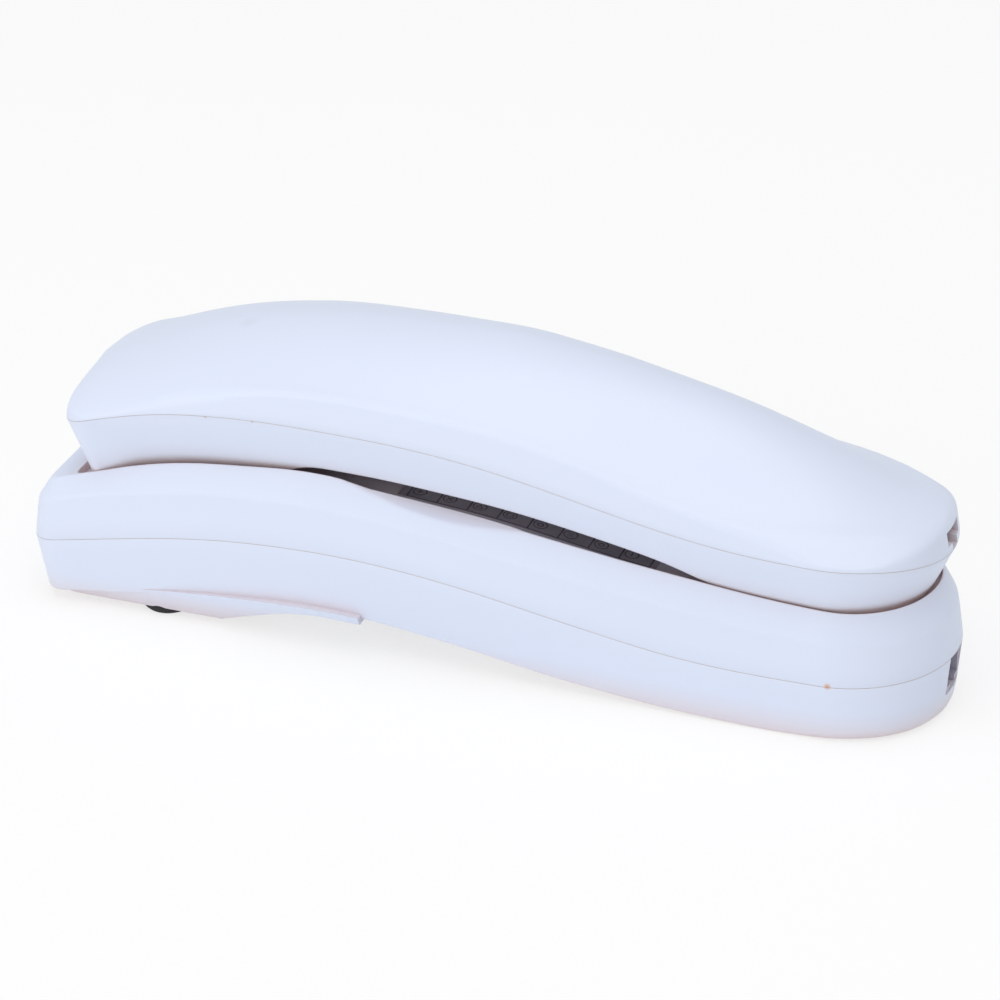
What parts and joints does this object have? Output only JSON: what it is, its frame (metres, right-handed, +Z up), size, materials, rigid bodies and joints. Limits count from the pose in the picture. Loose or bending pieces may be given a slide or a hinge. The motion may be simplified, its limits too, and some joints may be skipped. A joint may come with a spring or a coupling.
{
  "type": "slimline wall phone",
  "caption": "Long, narrow S-shaped telephone for wall or desk: the handset, with the keypad in its face, lies on a matching cradle base with a memory index card.",
  "frame": {"origin": "on the desk, under the middle of the base", "axes": "+X along the phone toward the mouthpiece and cord end, +Y to the far side, +Z up off the desk"},
  "size_m": [0.2206, 0.052, 0.0761],
  "materials": {
    "shell_white": "satin moulded cold white",
    "key_grey": "satin moulded light grey",
    "rubber_dark": "soft matt",
    "rubber_grey": "moulded silicone",
    "board": "solder mask",
    "film": "printed polyester film",
    "black_plastic": "moulded",
    "jack_plastic": "moulded grey",
    "can_metal": "pressed",
    "disc_brass": "rolled sheet",
    "card_paper": "printed card",
    "cover_clear": "clear sheet"
  },
  "bodies": {
    "base": {"base_lower_shell": "shell_white", "base_upper_shell": "shell_white", "index_card": "card_paper", "card_cover": "cover_clear", "hook_switch": "black_plastic", "base_board": "board", "line_jack": "jack_plastic", "cord_jack": "jack_plastic", "ringer": "disc_brass", "ringer_switch": "black_plastic", "foot_near": "rubber_dark", "foot_far": "rubber_dark"},
    "handset": {"handset_back": "shell_white", "handset_face": "shell_white", "key_mat": "rubber_grey", "keypad_film": "film", "handset_board": "board", "receiver": "black_plastic", "receiver_gasket": "rubber_dark", "microphone": "can_metal", "microphone_boot": "rubber_dark", "handset_jack": "jack_plastic"},
    "hook_plunger": {"hook_plunger": "key_grey"},
    "ringer_knob": {"ringer_knob": "key_grey"},
    "key_1": {"key_1": "key_grey"},
    "key_2": {"key_2": "key_grey"},
    "key_3": {"key_3": "key_grey"},
    "key_4": {"key_4": "key_grey"},
    "key_5": {"key_5": "key_grey"},
    "key_6": {"key_6": "key_grey"},
    "key_7": {"key_7": "key_grey"},
    "key_8": {"key_8": "key_grey"},
    "key_9": {"key_9": "key_grey"},
    "key_star": {"key_star": "key_grey"},
    "key_0": {"key_0": "key_grey"},
    "key_hash": {"key_hash": "key_grey"},
    "key_mem": {"key_mem": "key_grey"},
    "key_redial": {"key_redial": "key_grey"},
    "key_flash": {"key_flash": "key_grey"}
  },
  "joints": [
    {"name": "handset_lift", "type": "slide", "parent": "base", "child": "handset", "axis": [0, 0, 1], "range_m": [0, 0.06]},
    {"name": "hook_rise", "type": "slide", "parent": "base", "child": "hook_plunger", "axis": [0, 0, 1], "range_m": [0, 0.003]},
    {"name": "ringer_slide", "type": "slide", "parent": "base", "child": "ringer_knob", "axis": [1, 0, 0], "range_m": [0, 0.003]},
    {"name": "press_1", "type": "slide", "parent": "handset", "child": "key_1", "axis": [0.0202, 0, 0.9998], "range_m": [0, 0.001], "stiffness_N_per_m": 500},
    {"name": "press_2", "type": "slide", "parent": "handset", "child": "key_2", "axis": [0.0202, 0, 0.9998], "range_m": [0, 0.001], "stiffness_N_per_m": 500},
    {"name": "press_3", "type": "slide", "parent": "handset", "child": "key_3", "axis": [0.0202, 0, 0.9998], "range_m": [0, 0.001], "stiffness_N_per_m": 500},
    {"name": "press_4", "type": "slide", "parent": "handset", "child": "key_4", "axis": [0.0745, 0, 0.9972], "range_m": [0, 0.001], "stiffness_N_per_m": 500},
    {"name": "press_5", "type": "slide", "parent": "handset", "child": "key_5", "axis": [0.0745, 0, 0.9972], "range_m": [0, 0.001], "stiffness_N_per_m": 500},
    {"name": "press_6", "type": "slide", "parent": "handset", "child": "key_6", "axis": [0.0745, 0, 0.9972], "range_m": [0, 0.001], "stiffness_N_per_m": 500},
    {"name": "press_7", "type": "slide", "parent": "handset", "child": "key_7", "axis": [0.0795, 0, 0.9968], "range_m": [0, 0.001], "stiffness_N_per_m": 500},
    {"name": "press_8", "type": "slide", "parent": "handset", "child": "key_8", "axis": [0.0795, 0, 0.9968], "range_m": [0, 0.001], "stiffness_N_per_m": 500},
    {"name": "press_9", "type": "slide", "parent": "handset", "child": "key_9", "axis": [0.0795, 0, 0.9968], "range_m": [0, 0.001], "stiffness_N_per_m": 500},
    {"name": "press_star", "type": "slide", "parent": "handset", "child": "key_star", "axis": [0.1358, 0, 0.9907], "range_m": [0, 0.001], "stiffness_N_per_m": 500},
    {"name": "press_0", "type": "slide", "parent": "handset", "child": "key_0", "axis": [0.1358, 0, 0.9907], "range_m": [0, 0.001], "stiffness_N_per_m": 500},
    {"name": "press_hash", "type": "slide", "parent": "handset", "child": "key_hash", "axis": [0.1358, 0, 0.9907], "range_m": [0, 0.001], "stiffness_N_per_m": 500},
    {"name": "press_mem", "type": "slide", "parent": "handset", "child": "key_mem", "axis": [0.1738, 0, 0.9848], "range_m": [0, 0.001], "stiffness_N_per_m": 500},
    {"name": "press_redial", "type": "slide", "parent": "handset", "child": "key_redial", "axis": [0.1738, 0, 0.9848], "range_m": [0, 0.001], "stiffness_N_per_m": 500},
    {"name": "press_flash", "type": "slide", "parent": "handset", "child": "key_flash", "axis": [0.1738, 0, 0.9848], "range_m": [0, 0.001], "stiffness_N_per_m": 500}
  ],
  "couplings": [
    {"joint": "hook_rise", "follows": "handset_lift", "ratio": 0.05}
  ]
}
